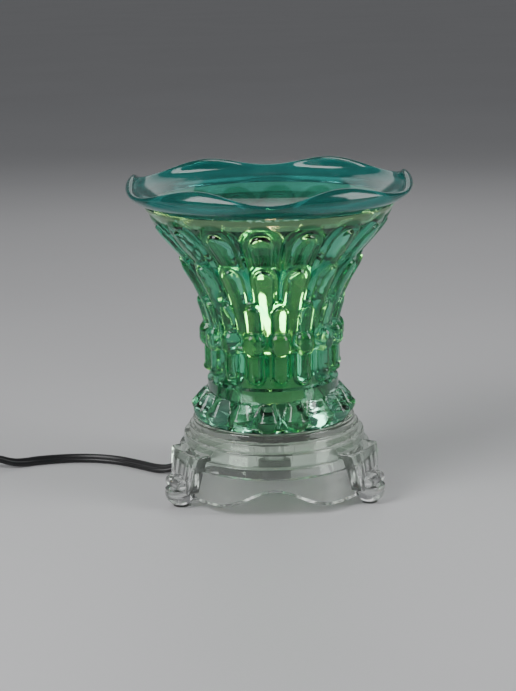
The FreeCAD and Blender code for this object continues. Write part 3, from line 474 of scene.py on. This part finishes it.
def twin_cord(name, route, tilts):
    """A closed twin cord swept along the route, its flat side tilted by the given degrees on the way."""
    path = centreline(route)
    profile = twin_profile()
    rings = []
    for k, spot in enumerate(path):
        ahead = (path[min(k + 1, len(path) - 1)] - path[max(k - 1, 0)]).normalized()
        across = ahead.cross(Vector((0, 0, 1))).normalized()
        over = across.cross(ahead).normalized()
        tilt = math.radians(float(np.interp(k / (len(path) - 1), *zip(*tilts))))
        across, over = (across * math.cos(tilt) + over * math.sin(tilt),
                        over * math.cos(tilt) - across * math.sin(tilt))
        extent = strand_radius + strand_offset * abs(math.sin(tilt))
        lower = min(max(cord_low * mm - extent, 0.0), max(spot.z - extent, 0.0))
        lower *= min(max((floor_zone - spot.z) / floor_blend, 0.0), 1.0)
        spot = spot - Vector((0, 0, lower))
        rings.append([spot + across * u + over * v for u, v in profile])
    count = len(profile)
    vertices = [spot for ring in rings for spot in ring]
    faces = [(r * count + k, r * count + (k + 1) % count, (r + 1) * count + (k + 1) % count,
              (r + 1) * count + k) for r in range(len(rings) - 1) for k in range(count)]
    faces += [tuple(reversed(range(count))), tuple((len(rings) - 1) * count + k for k in range(count))]
    mesh = bpy.data.meshes.new(name)
    mesh.from_pydata(vertices, [], faces)
    piece = bpy.data.objects.new(name, mesh)
    bpy.context.scene.collection.objects.link(piece)
    choose(piece)
    bpy.ops.object.mode_set(mode="EDIT")
    end(piece, name, [finishes["cord_black"].material], cord_smooth_deg)
    return piece, path


def path_length(path):
    return sum((b - a).length for a, b in zip(path, path[1:]))


free_tilts = [(0.0, 0.0), (0.2, 30.0), (0.75, 38.0), (1.0, 0.0)]  # share of the way, degrees
free_cord, free_path = twin_cord("cord_to_dimmer", free_route, free_tilts)
finish_piece(free_cord, "lamp", "cord_black", "cord_free")
lead_route = [(-254.0, 38.0, 6.5), (-262.0, 38.0, 6.5), (-274.0, 38.0, cord_low), (-282.4, 38.0, cord_low)]
tail_y = -39.925
tail_route = [(-282.4, tail_y, 8.95), (-276.0, tail_y, 8.95), (-267.0, tail_y, 8.0), (-260.0, tail_y, 8.0)]
far_tilts = [(0.0, 0.0), (0.015, 0.0), (0.05, 80.0), (0.955, 80.0), (0.985, 0.0), (1.0, 0.0)]
far_cord, far_path = twin_cord("cord_coil_and_tail", lead_route + coil_route() + tail_route, far_tilts)
finish_piece(far_cord, "lamp", "cord_black", "cord_lead", "cord_coil", "cord_tail")
round(path_length(free_path), 3)
round(path_length(far_path), 3)


# Vase: outlines are (height, radius) points in millimetres
steps_per_column = 20
vase_rows = 222
vase_wall = 4.4
vase_smooth_deg = 60.0
wall_outline = [(41.8, 41.0), (47.0, 40.2), (50.0, 38.1), (53.0, 35.9), (56.5, 34.3), (63.0, 33.6),
                (76.4, 32.9), (93.5, 32.7), (102.0, 34.1), (112.0, 36.6), (120.0, 39.9), (128.8, 44.6),
                (137.0, 50.7), (146.7, 58.9), (152.0, 63.4)]
core_outline = [(41.8, 41.0), (43.0, 39.0), (46.0, 37.8), (50.0, 36.2), (53.0, 34.8), (56.5, 33.4),
                (63.0, 32.4), (76.4, 31.9), (93.5, 31.9), (102.0, 33.0), (112.0, 35.2), (120.0, 38.3),
                (128.8, 42.9), (137.0, 49.0), (146.7, 57.6), (152.0, 62.8), (155.6, 65.6), (157.0, 66.0)]
rim_outline = [(157.0, 66.0), (157.6, 64.8), (157.2, 63.4)]
arch_rows = (  # top, phase, crest outline, half gap
    (111.8, lower_phase, [(72.0, 31.0), (84.0, 33.6), (90.0, 35.0), (100.0, 37.6), (107.0, 39.8),
                          (112.0, 41.2)], 0.12),
    (133.4, upper_phase, [(78.0, 30.0), (92.0, 33.0), (100.0, 35.2), (108.0, 38.6), (116.0, 42.4),
                          (126.0, 48.4), (134.0, 54.0)], 0.15),
    (154.2, upper_phase, [(92.0, 29.5), (104.0, 33.6), (112.0, 37.2), (122.0, 42.4), (130.0, 47.4),
                          (138.0, 54.6), (147.0, 62.2), (155.0, 66.4)], 0.2))
groove_at, groove_width, groove_depth = 0.62, 0.08, 1.3  # shares of the arch's half width, millimetres
swell_width, swell_height = 0.55, 0.6
groove_fade = (4.0, 8.0)  # starts above the crest's foot, grows over
ridge_reach, ridge_height, ridge_curve = 36.4, 85.2, 0.45
rod = (29.8, 6.7, 63.8, 86.0)  # centre reach, radius, low, high
pip = (35.0, 2.2, 67.6, 72.0)
bead = (33.4, 5.6, 80.4, 95.0)
rod_line_radius, rod_line_width, rod_line_depth = 4.0, 0.6, 1.8
rod_across, drop_across_radius = 34.0, 39.0
band_low, band_high, band_edges = 55.6, 63.6, (0.5, 0.8)
band_foot, band_height = 30.8, 4.4
drop_ball, drop_taper, drop_centre, drop_lean = 7.2, 3.7, 37.3, 3.2
drop_low, drop_waist, drop_tip, drop_length = 48.2, 48.4, 56.0, 8.0
arch_blend, ridge_blend, rod_blend, pip_blend = 0.35, 0.4, 0.25, 0.2
bead_blend, band_blend, drop_blend = 0.3, 0.3, 0.35
under_core = 1.0
coat_top, coat_turn = 151.0, -0.2  # the coat: faces below this height that look in more than this
rim_low, rim_turn = 150.0, 0.1  # the bare rim: faces above this height that look out less than this


def soft_max(a, b, blend):
    """The larger of two reaches, rounded where they meet."""
    share = np.clip(0.5 + 0.5 * (a - b) / blend, 0.0, 1.0)
    return b + (a - b) * share + blend * share * (1.0 - share)


def offset_from(angle, phase):
    """Degrees from the middle of the nearest column."""
    return (angle - phase + pitch_deg / 2) % pitch_deg - pitch_deg / 2


def capsule_reach(across, z, centre_reach, radius, low, high):
    """How far out an upright round-ended rod stands, or nothing beside it."""
    beyond = np.maximum(np.maximum(low + radius - z, z - high + radius), 0.0)
    inside = radius ** 2 - across ** 2 - beyond ** 2
    return np.where(inside > 0, centre_reach + np.sqrt(np.maximum(inside, 0.0)), 0.0)


def arch_row(reach, core, angle, z, row):
    """Adds one row of round-headed arches, each with a groove inside its edge."""
    top, phase, crest, half_gap = row
    crest_reach = np.interp(z, *zip(*crest))
    across = np.abs(np.radians(offset_from(angle, phase))) * crest_reach
    half_top = math.pi / columns * float(np.interp(top, *zip(*crest))) - half_gap
    half = np.minimum(math.pi / columns * crest_reach - half_gap, half_top)
    rise = np.maximum(z - (top - half_top), 0.0)
    share = np.sqrt(across ** 2 + rise ** 2) / half
    dome = np.sqrt(np.clip(1.0 - share ** 2.0, 0.0, 1.0))
    groove = np.exp(-((share - groove_at) / groove_width) ** 2) * groove_depth
    groove = groove - np.clip(1.0 - (share / swell_width) ** 2, 0, 1) * swell_height
    fade = np.clip((z - crest[0][0] - groove_fade[0]) / groove_fade[1], 0.0, 1.0)
    lift = (crest_reach - core) * dome - groove * fade
    return soft_max(reach, np.where(share < 1.0, core + lift, core - under_core), arch_blend)


def drop_reach(angle, z):
    """The ring of drops at the foot: balls that taper up to a tip."""
    across = np.radians(offset_from(angle, upper_phase)) * drop_across_radius
    up = np.clip((z - drop_waist) / drop_length, 0.0, 1.0)
    radius = drop_ball - drop_taper * up
    beyond = np.maximum(drop_low - z, 0.0)
    inside = radius ** 2 - across ** 2 - beyond ** 2
    middle = drop_centre - drop_lean * up
    return np.where((inside > 0) & (z < drop_tip), middle + np.sqrt(np.maximum(inside, 0.0)), 0.0)


def vase_reach(angle, z):
    """The pressed pattern: how far out the glass stands at each angle and height, in millimetres."""
    core = np.interp(z, *zip(*core_outline))
    reach = core
    for row in arch_rows:
        reach = arch_row(reach, core, angle, z, row)
    across = np.radians(offset_from(angle, lower_phase)) * rod_across
    reach = soft_max(reach, ridge_reach - ridge_curve * (z - ridge_height) ** 2, ridge_blend)
    rods = capsule_reach(across, z, *rod)
    from_end = np.hypot(across, np.maximum(rod[2] + rod[1] - z, 0.0))
    line = np.exp(-((from_end - rod_line_radius) / rod_line_width) ** 2) * rod_line_depth
    reach = soft_max(reach, rods - line * (rods > 0), rod_blend)
    reach = soft_max(reach, capsule_reach(across, z, *pip), pip_blend)
    reach = soft_max(reach, capsule_reach(across, z, *bead), bead_blend)
    edges = np.minimum((z - band_low) / band_edges[0], (band_high - z) / band_edges[1])
    reach = soft_max(reach, np.clip(edges, 0.0, 1.0) * band_height + band_foot, band_blend)
    return soft_max(reach, drop_reach(angle, z), drop_blend)


def make_vase():
    """A fine grid wrapped and pressed into the pattern, joined to a plain wall turned inside it."""
    steps = columns * steps_per_column
    inner = rim_outline + [(z, r - vase_wall) for z, r in reversed(wall_outline)] + [core_outline[0]]
    inside = turned([(r * mm, z * mm) for z, r in inner], steps)
    bpy.ops.object.mode_set(mode="OBJECT")
    piece = begin(bpy.ops.mesh.primitive_grid_add, x_subdivisions=steps, y_subdivisions=vase_rows, size=2.0)
    bpy.ops.object.mode_set(mode="OBJECT")
    mesh = piece.data
    spots = np.empty(len(mesh.vertices) * 3)
    mesh.vertices.foreach_get("co", spots)
    spots = spots.reshape(-1, 3)
    angle = 90.0 + 180.0 * spots[:, 0]
    z = vase_low + 0.5 * (spots[:, 1] + 1.0) * (vase_high - vase_low)
    reach = vase_reach(angle, z)
    spots[:, 0] = np.cos(np.radians(angle)) * reach * mm
    spots[:, 1] = np.sin(np.radians(angle)) * reach * mm
    spots[:, 2] = z * mm
    mesh.vertices.foreach_set("co", spots.ravel())
    mesh.update()
    inside.select_set(True)
    bpy.ops.object.join()
    bpy.ops.object.mode_set(mode="EDIT")
    piece = end(piece, "vase_relief", [outer_glass.material, green_glass.material, rim_glass_painted_glow.material],
                vase_smooth_deg)
    for face in piece.data.polygons:
        if face.center.z < coat_top * mm and facing_out(face) < coat_turn:
            face.material_index = 1
        elif face.center.z > rim_low * mm and facing_out(face) < rim_turn:
            face.material_index = 2
    return piece


finish_piece(make_vase(), "lamp", "green_glass", "vase_glass")

# Dish: (radius, height) of the crests and of the troughs at each ring
dish_stations = [((28.0, 142.6), (28.0, 142.6)), ((46.9, 145.0), (46.9, 145.0)),
                 ((56.7, 151.4), (56.7, 151.4)), ((60.9, 157.4), (60.9, 157.4)),
                 ((66.9, 158.2), (66.9, 158.2)),
                 ((73.3, 161.2), (72.5, 160.2)), ((75.7, 166.4), (75.9, 162.6)),
                 ((73.3, 170.8), (78.3, 164.8)), ((70.7, 172.6), (76.7, 166.6)),
                 ((68.9, 170.8), (74.5, 165.8)), ((71.5, 166.8), (72.1, 164.2)),
                 ((69.1, 163.0), (68.9, 162.6)), ((60.9, 159.48), (60.9, 159.48)),
                 ((54.1, 153.2), (54.1, 153.2)), ((43.7, 148.6), (43.7, 148.6)),
                 ((26.0, 146.6), (26.0, 146.6))]
crest_count = 6
dish_steps = 96
dish_floor_radius = 29.0
clear_low, clear_radius, clear_turn = 143.5, 61.5, 0.15  # the clear inside: above, within, facing up


def make_dish():
    """Rings drawn from the underside round the lip to the floor, ruffled in code and subdivided."""
    outline = [((crest[0] + trough[0]) / 2 * mm, (crest[1] + trough[1]) / 2 * mm)
               for crest, trough in dish_stations]
    piece = turned(outline, dish_steps)
    bpy.ops.object.mode_set(mode="OBJECT")
    bpy.ops.object.transform_apply(location=True, rotation=False, scale=False)
    for k, vertex in enumerate(piece.data.vertices):
        crest, trough = dish_stations[k // dish_steps]
        angle = math.atan2(vertex.co.y, vertex.co.x)
        share = 0.5 + 0.5 * math.cos(crest_count * angle)
        reach = (trough[0] + share * (crest[0] - trough[0])) * mm
        vertex.co = Vector((reach * math.cos(angle), reach * math.sin(angle),
                            (trough[1] + share * (crest[1] - trough[1])) * mm))
    bpy.ops.object.mode_set(mode="EDIT")
    for (_, height), _ in (dish_stations[0], dish_stations[-1]):
        bpy.ops.mesh.select_all(action="DESELECT")
        bpy.ops.object.mode_set(mode="OBJECT")
        for edge in piece.data.edges:
            ends = [piece.data.vertices[k].co for k in edge.vertices]
            edge.select = all(abs(spot.z - height * mm) < double_gap and
                              spot.xy.length < dish_floor_radius * mm for spot in ends)
        bpy.ops.object.mode_set(mode="EDIT")
        bpy.ops.mesh.select_mode(type="EDGE")
        bpy.ops.mesh.fill_grid(span=dish_steps // 4)
    piece = end(piece, "ruffled_dish", [teal_glass.material, dish_inner.material])
    choose(piece)
    smoother = piece.modifiers.new("smoother", "SUBSURF")
    smoother.levels = smoother.render_levels = 2
    bpy.ops.object.modifier_apply(modifier=smoother.name)
    bpy.ops.object.shade_smooth()
    for face in piece.data.polygons:
        spot = face.center
        looks_up = face.normal.z - facing_out(face) > clear_turn
        if looks_up and spot.z > clear_low * mm and spot.xy.length < clear_radius * mm:
            face.material_index = 1
    return piece


finish_piece(make_dish(), "dish", "teal_glass", "dish")


# Floor and light
floor_size = 80.0
floor_low = -0.0002
floor_greys = ((0.60, 0.60, 0.61), (0.63, 0.63, 0.64))
world_colour = (0.55, 0.56, 0.58, 1.0)
world_strength = 0.28
light_aim = Vector((0.0, 0.0, 0.09))
softboxes = (  # name, place, size, power
    ("key_softbox", (-0.60, -0.45, 0.62), (0.45, 0.6), 7.0),
    ("fill_softbox", (0.75, -0.25, 0.45), (0.3, 0.7), 4.5),
    ("back_strip", (0.1, 0.85, 0.75), (1.2, 0.6), 2.2))


def add_floor():
    bpy.ops.object.select_all(action="DESELECT")
    bpy.ops.mesh.primitive_plane_add(size=floor_size, location=(0.0, 0.0, floor_low))
    floor = bpy.context.object
    floor.name = "floor"
    paint = Paint("pale_floor", Roughness=0.45)
    paint.set(Base_Color=paint.mix(paint.span(paint.noise(3.0, 4.0), 0.3, 0.7), *floor_greys))
    floor.data.materials.append(paint.material)


def add_light(name, spot, size, power):
    lamp = bpy.data.lights.new(name, "AREA")
    lamp.shape = "RECTANGLE"
    lamp.size, lamp.size_y = size
    lamp.energy = power
    holder = bpy.data.objects.new(name, lamp)
    holder.location = spot
    holder.rotation_euler = (light_aim - Vector(spot)).to_track_quat("-Z", "Y").to_euler()
    bpy.context.scene.collection.objects.link(holder)


add_floor()
for softbox in softboxes:
    add_light(*softbox)
world = bpy.data.worlds.new("studio")
world.use_nodes = True
world.node_tree.nodes["Background"].inputs["Color"].default_value = world_colour
world.node_tree.nodes["Background"].inputs["Strength"].default_value = world_strength
bpy.context.scene.world = world
